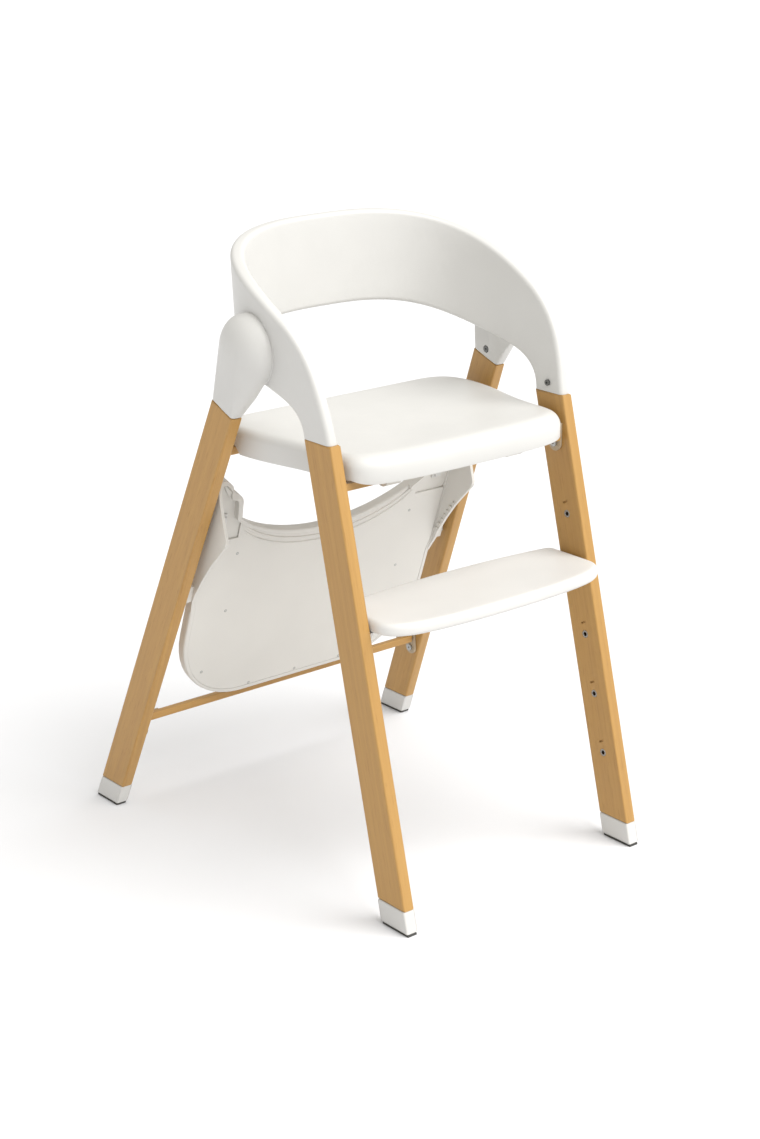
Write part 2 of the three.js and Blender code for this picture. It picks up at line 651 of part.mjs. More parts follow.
named("front_seat_rail", frontSeatRail(), BEECH);
named("rear_seat_rail", plainRail(REAR_SEAT_RAIL), BEECH);
named("rear_lower_rail", plainRail(LOWER_RAIL), BEECH);
for (const [place, data] of Object.entries(BRACKETS)) {
  pair(`${place}_rail_bracket`, bracket(data), WARM_WHITE);
  pair(`${place}_rail_bolt`, bracketBolt(data), STEEL);
}
pair("front_socket_screw", socketScrew(FRONT, SOCKET_FRONT), STEEL);
pair("rear_socket_screw", socketScrew(REAR, SOCKET_REAR), STEEL);

named("seat_shell", seatShell(), WHITE);
pair("seat_clip", seatClip(), WARM_WHITE);
named("footrest_board", footrestBoard(), WHITE);
pair("footrest_flange", footrestFlange(), WHITE);
pair("footrest_screw", footrestScrew(), STEEL);

named("tray_shell", trayShell(), WARM_WHITE).applyMatrix4(trayFrame);
named("tray_underside_panel", trayPanel(), WARM_WHITE).applyMatrix4(trayFrame);
pair("tray_latch", trayLatch(), WHITE, trayFrame);
pair("tray_peg", trayPeg(), WARM_WHITE);

export default chair;
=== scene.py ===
"""The looks of a folding baby high chair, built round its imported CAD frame.

White moulded hoop, seat and footrest, beech legs and rails, and a warm white tray
stored between the rear legs. Shapes are worked out in millimetres and stored in metres.
"""

import json
import math

import bmesh
import bpy
import numpy as np
from mathutils import Matrix, Vector


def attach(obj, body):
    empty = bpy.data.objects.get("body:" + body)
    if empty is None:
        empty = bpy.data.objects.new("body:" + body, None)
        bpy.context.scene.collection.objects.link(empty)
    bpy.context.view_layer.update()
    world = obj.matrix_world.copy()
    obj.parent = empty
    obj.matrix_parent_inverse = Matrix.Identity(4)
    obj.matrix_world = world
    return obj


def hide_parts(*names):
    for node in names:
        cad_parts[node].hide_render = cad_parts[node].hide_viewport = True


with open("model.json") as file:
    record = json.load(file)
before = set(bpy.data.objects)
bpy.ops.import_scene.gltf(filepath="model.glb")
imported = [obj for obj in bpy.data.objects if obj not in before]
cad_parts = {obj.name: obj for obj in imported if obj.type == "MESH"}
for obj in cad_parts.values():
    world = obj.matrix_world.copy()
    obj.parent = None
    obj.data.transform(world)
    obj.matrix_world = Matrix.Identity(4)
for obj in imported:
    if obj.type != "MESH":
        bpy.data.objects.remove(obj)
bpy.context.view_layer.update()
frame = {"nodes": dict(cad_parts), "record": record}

MM = 0.001
SIDES = (("right", 1), ("left", -1))


# ---------- mesh helpers ----------

def obj_from(name, mesh):
    """A new object in the scene that shows the mesh."""
    obj = bpy.data.objects.new(name, mesh)
    bpy.context.scene.collection.objects.link(obj)
    return obj


def piece(name, verts, faces):
    """A mesh object from millimetre vertices, with its faces turned outwards."""
    mesh = bpy.data.meshes.new(name)
    mesh.from_pydata([tuple(float(c) * MM for c in v) for v in verts], [], faces)
    bm = bmesh.new()
    bm.from_mesh(mesh)
    bmesh.ops.recalc_face_normals(bm, faces=bm.faces)
    bm.to_mesh(mesh)
    bm.free()
    return obj_from(name, mesh)


def settle(obj, angle=40):
    """Applies the modifiers, and shades smooth across edges flatter than the angle."""
    graph = bpy.context.evaluated_depsgraph_get()
    mesh = bpy.data.meshes.new_from_object(obj.evaluated_get(graph))
    mesh.name = obj.name
    obj.modifiers.clear()
    obj.data = mesh
    mesh.shade_smooth()
    mesh.set_sharp_from_angle(angle=math.radians(angle))


def bevelled(obj, width, segments=2, angle=38):
    """Rounds the edges that turn by more than the angle."""
    mod = obj.modifiers.new("edge", "BEVEL")
    mod.width = width * MM
    mod.segments = segments
    mod.limit_method = "ANGLE"
    mod.angle_limit = math.radians(angle)
    mod.use_clamp_overlap = True


def boolean(obj, other, operation, angle=40):
    """Joins, cuts or crosses a piece with another one, which is used up."""
    mod = obj.modifiers.new("cut", "BOOLEAN")
    mod.object = other
    mod.operation = operation
    mod.solver = "EXACT"
    settle(obj, angle)
    bpy.data.objects.remove(other)


def lofted(name, loops):
    """A closed skin over loops with the same number of points, flat at both ends."""
    count = len(loops[0])
    last = (len(loops) - 1) * count
    verts = [p for loop in loops for p in loop]
    faces = []
    for i in range(len(loops) - 1):
        for j in range(count):
            k = (j + 1) % count
            a, b = i * count, (i + 1) * count
            faces.append((a + j, a + k, b + k, b + j))
    faces.append(tuple(range(count)))
    faces.append(tuple(last + j for j in range(count)))
    return piece(name, verts, faces)


def prism_x(name, outline, x0, x1):
    """A side outline in (y, z) with a thickness along X."""
    loops = [[(x, y, z) for y, z in outline] for x in (x0, x1)]
    return lofted(name, loops)


def mirrored_copy(obj, name):
    """The same piece on the other side of the chair."""
    mesh = obj.data.copy()
    mesh.transform(Matrix.Scale(-1, 4, (1, 0, 0)))
    mesh.flip_normals()
    return obj_from(name, mesh)


def bezier(p0, p1, p2, p3, steps):
    """Points on a cubic curve, both ends included."""
    t = np.linspace(0, 1, steps + 1)[:, None]
    p0, p1, p2, p3 = (np.array(p, float) for p in (p0, p1, p2, p3))
    return (1 - t) ** 3 * p0 + 3 * (1 - t) ** 2 * t * p1 + 3 * (1 - t) * t * t * p2 + t**3 * p3


def resampled(points, count):
    """The same polyline with evenly spaced points."""
    points = np.asarray(points, float)
    run = np.r_[0, np.cumsum(np.linalg.norm(np.diff(points, axis=0), axis=1))]
    at = np.linspace(0, run[-1], count)
    return np.stack([np.interp(at, run, points[:, k]) for k in range(points.shape[1])], 1)


def smoothstep(value, start, end):
    """Rises softly from 0 at the start to 1 at the end."""
    t = np.clip((value - start) / (end - start), 0, 1)
    return t * t * (3 - 2 * t)


def circle_at(x, y, z, radius, sides):
    """A loop round an axis along X."""
    turns = np.linspace(0, 2 * math.pi, sides, endpoint=False)
    return [(x, y + radius * math.cos(t), z + radius * math.sin(t)) for t in turns]


def rounded_corners(width, thick, radius, steps=6):
    """The four arcs of a rounded rectangle, as (along, depth) pairs."""
    centres = ((radius, radius, math.pi), (width - radius, radius, -math.pi / 2),
               (width - radius, thick - radius, 0), (radius, thick - radius, math.pi / 2))
    arcs = []
    for a, d, start in centres:
        turns = [start + math.pi / 2 * i / steps for i in range(steps + 1)]
        arcs.append([(a + radius * math.cos(t), d + radius * math.sin(t)) for t in turns])
    return arcs


# ---------- materials ----------

def shader(name):
    """A new material, its node tree and its main shader."""
    mat = bpy.data.materials.new(name)
    mat.use_nodes = True
    tree = mat.node_tree
    return mat, tree, tree.nodes["Principled BSDF"]


def noise(tree, vector, scale, detail=3.0, roughness=0.55):
    """A fractal noise value at a place."""
    node = tree.nodes.new("ShaderNodeTexNoise")
    node.inputs["Scale"].default_value = scale
    node.inputs["Detail"].default_value = detail
    node.inputs["Roughness"].default_value = roughness
    tree.links.new(vector, node.inputs["Vector"])
    return node.outputs["Fac"]


def ramp(tree, value, stops):
    """A colour for the value, blended between (place, colour) stops."""
    node = tree.nodes.new("ShaderNodeValToRGB")
    elements = node.color_ramp.elements
    while len(elements) < len(stops):
        elements.new(0.5)
    for element, (at, colour) in zip(elements, stops):
        element.position = at
        element.color = (*colour, 1)
    tree.links.new(value, node.inputs["Fac"])
    return node.outputs["Color"]


def mapping(tree, rotation=(0, 0, 0), scale=(1, 1, 1), shift=(0, 0, 0)):
    """Object coordinates, turned first and then stretched."""
    coords = tree.nodes.new("ShaderNodeTexCoord")
    turn = tree.nodes.new("ShaderNodeMapping")
    turn.inputs["Rotation"].default_value = rotation
    turn.inputs["Location"].default_value = shift
    tree.links.new(coords.outputs["Object"], turn.inputs["Vector"])
    stretch = tree.nodes.new("ShaderNodeMapping")
    stretch.inputs["Scale"].default_value = scale
    tree.links.new(turn.outputs["Vector"], stretch.inputs["Vector"])
    return stretch.outputs["Vector"]


def mixed(tree, factor, a, b, mode="MIX"):
    """Colour b laid over colour a; the factor and both colours may be values or sockets."""
    node = tree.nodes.new("ShaderNodeMix")
    node.data_type = "RGBA"
    node.blend_type = mode
    if isinstance(factor, float):
        node.inputs[0].default_value = factor
    else:
        tree.links.new(factor, node.inputs[0])
    for socket, value in ((node.inputs[6], a), (node.inputs[7], b)):
        if isinstance(value, tuple):
            socket.default_value = (*value, 1)
        else:
            tree.links.new(value, socket)
    return node.outputs[2]


def ranged(tree, value, low, high):
    """A 0 to 1 value spread between two limits."""
    node = tree.nodes.new("ShaderNodeMapRange")
    node.inputs["To Min"].default_value = low
    node.inputs["To Max"].default_value = high
    tree.links.new(value, node.inputs["Value"])
    return node.outputs["Result"]


def bump(tree, shade, height, strength, distance):
    """Lets the height value tilt the shader's normals."""
    node = tree.nodes.new("ShaderNodeBump")
    node.inputs["Strength"].default_value = strength
    node.inputs["Distance"].default_value = distance
    tree.links.new(height, node.inputs["Height"])
    tree.links.new(node.outputs["Normal"], shade.inputs["Normal"])


def plastic(name, colour, roughness, grain=0.12, tint=0.035):
    """Moulded plastic: a fine spark-eroded grain and a faint unevenness of tone."""
    mat, tree, shade = shader(name)
    flat = mapping(tree)
    tone = noise(tree, flat, 9.0, 2.0)
    darker = tuple(c * (1 - tint) for c in colour)
    tree.links.new(ramp(tree, tone, [(0.35, darker), (0.65, colour)]), shade.inputs["Base Color"])
    fine = noise(tree, flat, 1500.0, 2.0, 0.5)
    sheen = ranged(tree, noise(tree, flat, 60.0, 4.0), roughness - 0.06, roughness + 0.07)
    tree.links.new(sheen, shade.inputs["Roughness"])
    shade.inputs["Specular IOR Level"].default_value = 0.42
    bump(tree, shade, fine, grain, 0.0003)
    return mat


BEECH_LIGHT = (0.50, 0.282, 0.078)
BEECH_MID = (0.452, 0.248, 0.066)
BEECH_DARK = (0.405, 0.216, 0.056)
FLECK_TINT = (0.76, 0.69, 0.60)


def beech(name, rotation, shift):
    """Satin lacquered beech with its grain along local Z, after the turn."""
    mat, tree, shade = shader(name)
    broad = noise(tree, mapping(tree, rotation, (9, 9, 0.9), shift), 2.2, 2.0)
    lines = noise(tree, mapping(tree, rotation, (62, 62, 1.1), shift), 2.6, 5.0, 0.62)
    base = ramp(tree, lines, [(0.3, BEECH_DARK), (0.48, BEECH_MID), (0.68, BEECH_LIGHT)])
    base = mixed(tree, ranged(tree, broad, 0.0, 0.5), base, BEECH_MID)
    flecks = noise(tree, mapping(tree, rotation, (420, 420, 26), shift), 1.5, 2.0, 0.5)
    dark = ramp(tree, flecks, [(0.60, (1, 1, 1)), (0.70, FLECK_TINT)])
    base = mixed(tree, 0.55, base, dark, "MULTIPLY")
    tree.links.new(base, shade.inputs["Base Color"])
    tree.links.new(ranged(tree, lines, 0.40, 0.55), shade.inputs["Roughness"])
    shade.inputs["Coat Weight"].default_value = 0.18
    shade.inputs["Coat Roughness"].default_value = 0.28
    bump(tree, shade, flecks, 0.16, 0.0004)
    return mat


def steel(name, colour, roughness):
    """Plated steel with a fine brushed unevenness."""
    mat, tree, shade = shader(name)
    brushed = noise(tree, mapping(tree), 900.0, 3.0)
    lighter = tuple(min(1.0, c * 1.15) for c in colour)
    tree.links.new(ramp(tree, brushed, [(0.3, colour), (0.7, lighter)]), shade.inputs["Base Color"])
    tree.links.new(ranged(tree, brushed, roughness - 0.08, roughness + 0.12), shade.inputs["Roughness"])
    shade.inputs["Metallic"].default_value = 1.0
    bump(tree, shade, brushed, 0.15, 0.0002)
    return mat


def rubber(name):
    """Dull dark rubber with light scuffs."""
    mat, tree, shade = shader(name)
    at = mapping(tree)
    scuffs = noise(tree, at, 140.0, 4.0)
    worn = ramp(tree, scuffs, [(0.3, (0.045, 0.044, 0.040)), (0.75, (0.085, 0.082, 0.075))])
    tree.links.new(worn, shade.inputs["Base Color"])
    tree.links.new(ranged(tree, scuffs, 0.75, 0.95), shade.inputs["Roughness"])
    bump(tree, shade, noise(tree, at, 700.0, 2.0), 0.3, 0.0004)
    return mat


FRONT_SLOPE, REAR_SLOPE = 0.2528, 0.4035  # how far the legs lean along Y for their height
FRONT_TURN, REAR_TURN = math.atan(FRONT_SLOPE), -math.atan(REAR_SLOPE)
RAIL_TURN = math.pi / 2

WHITE = plastic("white_plastic_look", (0.645, 0.638, 0.618), 0.38)
# The footrest's white is the seat's white plastic made lighter: painted light that offsets the shade the
# seat casts over the footrest.
FOOTREST_WHITE_PAINTED_LIGHT = plastic("footrest_plastic_painted_light_look", (0.69, 0.68, 0.66), 0.42, 0.2)
TRAY_WHITE = plastic("tray_plastic_look", (0.69, 0.672, 0.632), 0.46, 0.2)
FITTING = plastic("fitting_plastic_look", (0.62, 0.60, 0.55), 0.48, 0.2)
BRACKET = plastic("bracket_plastic_look", (0.47, 0.375, 0.255), 0.42, 0.2)
STEEL = steel("zinc_steel_look", (0.42, 0.42, 0.41), 0.36)
DARK_STEEL = steel("socket_screw_look", (0.17, 0.17, 0.165), 0.4)
BRASSY = steel("insert_steel_look", (0.34, 0.32, 0.29), 0.42)
RUBBER = rubber("sole_rubber_look")
WOODS = {
    "front_leg_right": beech("beech_front_right", (FRONT_TURN, 0, 0), (0, 0, 0)),
    "front_leg_left": beech("beech_front_left", (FRONT_TURN, 0, 0), (0.31, 0.2, 0.4)),
    "rear_leg_right": beech("beech_rear_right", (REAR_TURN, 0, 0), (0.7, 0.1, 0.9)),
    "rear_leg_left": beech("beech_rear_left", (REAR_TURN, 0, 0), (0.2, 0.6, 1.3)),
    "front_seat_rail": beech("beech_rail_a", (0, RAIL_TURN, 0), (0.1, 0.3, 0)),
    "rear_seat_rail": beech("beech_rail_b", (0, RAIL_TURN, 0), (0.5, 0.8, 0)),
    "rear_lower_rail": beech("beech_rail_c", (0, RAIL_TURN, 0), (0.9, 0.2, 0)),
}
SLOT_LOOK = {
    "white_plastic": WHITE,
    "warm_white_plastic": FITTING,
    "steel": STEEL,
    "rubber": RUBBER,
}

SLOTS = {row["node"]: row["material_slot"] for row in frame["record"]["subparts"]}
BODY_OF = {n: body for body, nodes in frame["record"]["behaviour"]["bodies"].items() for n in nodes}


def dress(obj, look, body, slot, *nodes):
    """Gives a finished piece its material and body, and what it stands for."""
    obj.data.materials.clear()
    obj.data.materials.append(look)
    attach(obj, body)
    if nodes:
        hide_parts(*nodes)


# ---------- CAD nodes with finer edges ----------

def refined(node, edge, look=None, segments=2, crease=40, shade_angle=40):
    """A clean copy of a CAD node with its edges broken, which stands for it."""
    mesh = frame["nodes"][node].data.copy()
    bm = bmesh.new()
    bm.from_mesh(mesh)
    bmesh.ops.remove_doubles(bm, verts=bm.verts, dist=0.01 * MM)
    bmesh.ops.dissolve_limit(bm, angle_limit=math.radians(0.6), verts=bm.verts, edges=bm.edges)
    bmesh.ops.recalc_face_normals(bm, faces=bm.faces)
    bm.to_mesh(mesh)
    bm.free()
    obj = obj_from(node + "_fine", mesh)
    if edge:
        bevelled(obj, edge, segments, crease)
    settle(obj, shade_angle)
    level = obj.modifiers.new("level", "WEIGHTED_NORMAL")
    level.keep_sharp = True
    level.weight = 90
    dress(obj, look or SLOT_LOOK[SLOTS[node]], BODY_OF[node], SLOTS[node], node)


# ---------- the hoop ----------

# Seen from above the wall is a superellipse behind CENTRE_Y and straight in front of it.
HALF, DEPTH, CENTRE_Y, POWER = 206.5, 198.8, -72.0, 2.85
PLAN_Z = 740.0  # the height at which the plan has these sizes
WALL, RIM = 16.0, 5.8
ARM_SEAM_Z = 578.0
ARM_SHIFT = 2.4  # how far the arm's foot steps in to meet the leg
LOWER_EDGE_TURN = 44  # where along the wall the lower edge turns from the arm to the back
HINGE_Y, HINGE_Z = -3.0, 668.0
BOSS_RADIUS, BOSS_FACE_X = 45.9, 204.3
BOSS_FRONT, BOSS_REAR, BOSS_OVER_EDGE = -94, 100, 3

# Both edges in the side view, as (y, z).
UPPER_ARM = bezier((-146.9, ARM_SEAM_Z), (-130, 650), (-115, 681), (-72.6, 708.6), 60)
UPPER_BACK = bezier((-72.6, 708.6), (-20, 741), (60, 774), (132, 798), 80)
LOWER_ARM = bezier((-95.9, ARM_SEAM_Z), (-93, 612), (-60, 620), (-24, 629), 60)
LOWER_BACK = bezier((-24, 629), (40, 642), (92, 668), (122, 677), 80)
UPPER_EDGE = np.vstack([UPPER_ARM, UPPER_BACK[1:]])
LOWER_EDGE = np.vstack([LOWER_ARM, LOWER_BACK[1:], [(160, 679)]])

THETA = np.linspace(0, math.pi / 2, 6001)


def plan_point(theta, inset):
    """A point (x, y) on the rounded part of the plan."""
    return ((HALF - inset) * np.cos(theta) ** (2 / POWER),
            CENTRE_Y + (DEPTH - inset) * np.sin(theta) ** (2 / POWER))


_mid_x, _mid_y = plan_point(THETA, WALL / 2)
ROUND_RUN = np.r_[0, np.cumsum(np.hypot(np.diff(_mid_x), np.diff(_mid_y)))]
BACK_RUN = ROUND_RUN[-1]


def hoop_point(run, z, inset):
    """A place on the wall: run along it past the arm's end, height, and depth under the outside."""
    if run < 0:
        x, y = HALF - inset, CENTRE_Y + run
    else:
        x, y = plan_point(np.interp(run, ROUND_RUN, THETA), inset)
    flare = 0.05 - 0.02 * smoothstep(y, 40, 110)
    scale = 1 + flare * (z - PLAN_Z) / HALF
    step = ARM_SHIFT * (1 - smoothstep(z, ARM_SEAM_Z, ARM_SEAM_Z + 75)) * (1 - smoothstep(y, -90, -40))
    return np.array([max(x, 0) * scale - step, CENTRE_Y + (y - CENTRE_Y) * scale, z])


def edge_on_wall(edge, run):
    """The height of a side-view edge curve at a run along the wall."""
    z = PLAN_Z
    for _ in range(4):
        z = np.interp(hoop_point(run, z, WALL / 2)[1], edge[:, 0], edge[:, 1])
    return z


def wall_edge(arm, edge):
    """An edge in (run, z): the arm's curve, then the curve round the back."""
    points = [(y - CENTRE_Y, z) for y, z in arm if y < CENTRE_Y - 1]
    points += [(run, edge_on_wall(edge, run)) for run in np.linspace(0, BACK_RUN, 220)]
    return np.array(points)


def split_at(points, run):
    """Cuts an edge in two at a run, with the cut's point in both."""
    k = int(np.searchsorted(points[:, 0], run))
    return points[: k + 1], points[k:]


def rim_profile(width, thick, radius, along=7):
    """A rounded section as (distance from the lower edge, depth) pairs, evenly divided on its long sides."""
    arcs = rounded_corners(width, thick, radius)
    loop = []
    for k, arc in enumerate(arcs):
        loop += arc
        if k in (0, 2):
            a, b = arc[-1], arcs[(k + 1) % 4][0]
            loop += [(a[0] + (b[0] - a[0]) * i / along, a[1] + (b[1] - a[1]) * i / along)
                     for i in range(1, along)]
    return loop


def make_hoop():
    """Back and both arms in one moulding, with a round pad at each hinge."""
    upper_a, upper_b = split_at(wall_edge(UPPER_ARM, UPPER_EDGE), 0)
    lower_a, lower_b = split_at(wall_edge(LOWER_ARM, LOWER_EDGE), LOWER_EDGE_TURN)
    upper = np.vstack([resampled(upper_a, 46), resampled(upper_b, 84)[1:]])
    lower = np.vstack([resampled(lower_a, 46), resampled(lower_b, 84)[1:]])
    right = []
    for high, low in zip(upper, lower):
        width = float(np.linalg.norm(high - low))
        loop = []
        for a, d in rim_profile(width, WALL, RIM):
            run, z = low + (high - low) * (a / width)
            loop.append(hoop_point(run, z, d))
        right.append(loop)
    left = [[(-p[0], p[1], p[2]) for p in loop] for loop in reversed(right[:-1])]
    hoop = lofted("hoop", right + left)
    for _, sign in SIDES:
        boolean(hoop, hinge_boss(sign), "UNION", 50)
    dress(hoop, WHITE, "frame", "white_plastic", "hoop_back")


def hinge_boss(sign):
    """The flat round pad on the hoop that the leg's socket turns against."""
    inside, break_size, over_all = BOSS_FACE_X - 13.3, 0.4, 760
    rings = ((inside, BOSS_RADIUS), (BOSS_FACE_X - break_size, BOSS_RADIUS),
             (BOSS_FACE_X, BOSS_RADIUS - break_size))
    boss = lofted("boss", [circle_at(sign * x, HINGE_Y, HINGE_Z, radius, 72) for x, radius in rings])
    low = [(y, z + BOSS_OVER_EDGE) for y, z in LOWER_EDGE if BOSS_FRONT < y < BOSS_REAR]
    outline = low + [(BOSS_REAR, over_all), (BOSS_FRONT, over_all)]
    boolean(boss, prism_x("keep", outline, -230, 230), "INTERSECT")
    return boss


# ---------- the rear legs' sockets ----------

LEG_DEPTH, LEG_THICK = 50.0, 16.5
REAR_FOOT_Y, REAR_FOOT_X, REAR_SPLAY = 243, 261.7, 0.064
REAR_SEAM_Z, REAR_SEAM_TOP = 584.0, 601.0  # the slanted seam at the leg's front and rear corner
SOCKET_SKIN = 0.2  # how far the socket stands over the leg
SOCKET_INNER_X, DOME_TOP_X, DOME_RADIUS = 204.6, 233.5, 46.0
SOCKET_SCREW_Z, SCREW_WELL_RADIUS = 604, 5.2


def rear_edge_y(z):
    """The front edge of a rear leg at a height."""
    return REAR_FOOT_Y - REAR_SLOPE * z


def leg_end(low, high, thick, radius):
    """The leg's section on the slanted seam, from its front corner to its rear one."""
    low, high = Vector(low), Vector(high)
    span = (high - low).length
    points = []
    for arc in rounded_corners(span, thick, radius):
        for along, depth in arc:
            place = low.lerp(high, along / span)
            outside = REAR_FOOT_X - REAR_SPLAY * place.z + SOCKET_SKIN
            points.append((outside - depth, place.y, place.z))
    return points


def hull_mesh(name, points):
    """The convex skin over millimetre points."""
    bm = bmesh.new()
    for point in points:
        bm.verts.new([c * MM for c in point])
    hull = bmesh.ops.convex_hull(bm, input=bm.verts)
    inside = [v for v in hull["geom_interior"] if isinstance(v, bmesh.types.BMVert)]
    bmesh.ops.delete(bm, geom=inside, context="VERTS")
    mesh = bpy.data.meshes.new(name)
    bm.to_mesh(mesh)
    bm.free()
    return mesh


def trimmed_at_x(mesh, x):
    """Cuts away everything nearer the middle than x and closes the cut."""
    bm = bmesh.new()
    bm.from_mesh(mesh)
    bmesh.ops.bisect_plane(bm, geom=bm.verts[:] + bm.edges[:] + bm.faces[:], plane_co=(x * MM, 0, 0),
                           plane_no=(1, 0, 0), clear_inner=True)
    rim = [edge for edge in bm.edges if edge.is_boundary]
    bmesh.ops.contextual_create(bm, geom=rim)
    bmesh.ops.recalc_face_normals(bm, faces=bm.faces)
    bm.to_mesh(mesh)
    bm.free()


def make_socket(name):
    """A round dome over the hinge that narrows to the leg's section."""
    rise = DOME_TOP_X - SOCKET_INNER_X
    rings = [(SOCKET_INNER_X - 6, DOME_RADIUS)]
    rings += [(SOCKET_INNER_X + rise * t, DOME_RADIUS * (1 - t**2) ** 0.5) for t in np.linspace(0, 1, 18)]
    points = []
    for x, radius in rings:
        points += circle_at(x, HINGE_Y, HINGE_Z, radius, 96)
    low = (0, rear_edge_y(REAR_SEAM_Z), REAR_SEAM_Z)
    high = (0, rear_edge_y(REAR_SEAM_TOP) + LEG_DEPTH, REAR_SEAM_TOP)
    points += leg_end(low, high, LEG_THICK + 2 * SOCKET_SKIN, 4.5)
    socket = obj_from(name, hull_mesh(name, points))
    even = socket.modifiers.new("even", "REMESH")
    even.mode = "VOXEL"
    even.voxel_size = 1.4 * MM
    soft = socket.modifiers.new("soft", "SMOOTH")
    soft.factor = 0.5
    soft.iterations = 8
    settle(socket, 70)
    trimmed_at_x(socket.data, SOCKET_INNER_X)
    screw_y = rear_edge_y(SOCKET_SCREW_Z) + LEG_DEPTH / 2
    well = [circle_at(x, screw_y, SOCKET_SCREW_Z, SCREW_WELL_RADIUS, 32) for x in (195, 207.5)]
    boolean(socket, lofted("well", well), "DIFFERENCE", 50)
    return socket


# ---------- seat and footrest ----------

def full_outline(half):
    """A right-hand half outline from front to rear, closed with its mirror image."""
    right = np.asarray(half, float)
    left = right[1:-1][::-1] * (-1, 1)
    return np.vstack([right, left])


def inward(outline):
    """The unit directions into the outline at its points."""
    before, after = np.roll(outline, 1, axis=0), np.roll(outline, -1, axis=0)
    tangent = after - before
    normal = np.stack([-tangent[:, 1], tangent[:, 0]], 1)
    return normal / np.linalg.norm(normal, axis=1)[:, None]


def ring(outline, normals, inset, z):
    """The outline moved inwards, at a height; inset and z may differ from point to point."""
    flat = outline + normals * np.asarray(inset).reshape(-1, 1)
    height = np.broadcast_to(z, (len(flat),))
    return np.column_stack([flat, height])


def shrunk(loop, centre, share, z):
    """The loop drawn together towards a centre."""
    flat = centre + (loop[:, :2] - centre) * share
    return np.column_stack([flat, np.broadcast_to(z, (len(flat),))])


def rounded_top(outline, normals, radius, z):
    """Rings over a top edge that ends at height z."""
    return [ring(outline, normals, radius * (1 - math.cos(t)), z - radius * (1 - math.sin(t)))
            for t in np.linspace(0, math.pi / 2, 9)]


def dished(rim, centre, steps, z):
    """Rings that close a top from its rim inwards, each a little lower."""
    return [shrunk(rim, centre, share, z - fall) for share, fall in steps]


SEAT_TOP, SEAT_LOW, SEAT_ROOF = 563.0, 529.5, 556.0  # the roof is that of the hollow underneath
SEAT_FRONT, SEAT_REAR, SEAT_CENTRE = -181.0, 93.0, np.array([0.0, -44.0])
SEAT_DISH = ((1, 0.05), (0.85, 0.4), (0.62, 1.0), (0.35, 1.5), (0.12, 1.7), (0.03, 1.7))

# Openings in the seat's side walls, as (y, z), round the ends of the rear rail and of the front one.
REAR_OPENING = ((64, 519), (64, 539.5), (41, 539.5), (20, 519))
FRONT_OPENING = ((-173.5, 519), (-173.5, 527.5), (-153.5, 534),
                 (-123.5, 534), (-107.5, 527.5), (-107.5, 519))


def make_seat():
    """An upturned shallow tray with full round edges and a slightly dished top."""
    front, rear = SEAT_FRONT, SEAT_REAR
    half = np.vstack([
        bezier((0, front), (60, front), (110, front + 1), (138, front + 8), 26),
        bezier((138, front + 8), (160, front + 14), (172, -160), (173, -138), 16)[1:],
        bezier((173, -138), (174, -110), (175, -95), (177, -80), 10)[1:],
        bezier((177, -80), (182, -45), (194, -20), (196, 30), 20)[1:],
        bezier((196, 30), (196, 72), (180, rear - 2), (140, rear), 22)[1:],
        bezier((140, rear), (95, rear), (45, rear), (0, rear), 14)[1:],
    ])
    outline = full_outline(resampled(half, 110))
    normals = inward(outline)
    edge = 12 + 7 * (1 - smoothstep(outline[:, 1], -172, -120))
    low = SEAT_LOW - 1.2 * (1 - smoothstep(outline[:, 1], -178, -150))
    wall, corner = 5, 4
    hollow = ((wall + corner, SEAT_ROOF), (wall + 1.4, SEAT_ROOF - 1.4), (wall, SEAT_ROOF - 5),
              (wall, low + 1), (wall - 1, low), (1.6, low), (0.5, low + 0.5), (0, low + 1.7))
    rings = [ring(outline, normals, inset, z) for inset, z in hollow]
    loops = [shrunk(rings[0], SEAT_CENTRE, share, SEAT_ROOF) for share in (0.03, 0.5)]
    loops += rings + rounded_top(outline, normals, edge, SEAT_TOP)
    loops += dished(ring(outline, normals, edge + 6, SEAT_TOP), SEAT_CENTRE, SEAT_DISH, SEAT_TOP)
    seat = lofted("seat", loops)
    for opening in (REAR_OPENING, FRONT_OPENING):
        for _, sign in SIDES:
            boolean(seat, prism_x("cutter", opening, sign * 150, sign * 250), "DIFFERENCE")
    settle(seat, 42)
    dress(seat, WHITE, "seat", "white_plastic", "seat_shell")


FOOTREST_FRONT, FOOTREST_BACK, FOOTREST_SIDE = -253.0, -120.0, 179.2
FOOTREST_TOP, FOOTREST_LOW, FOOTREST_CENTRE = 375.7, 359.5, np.array([0.0, -187.0])
FOOTREST_DISH = ((1, 0.05), (0.8, 0.2), (0.4, 0.5), (0.03, 0.6))


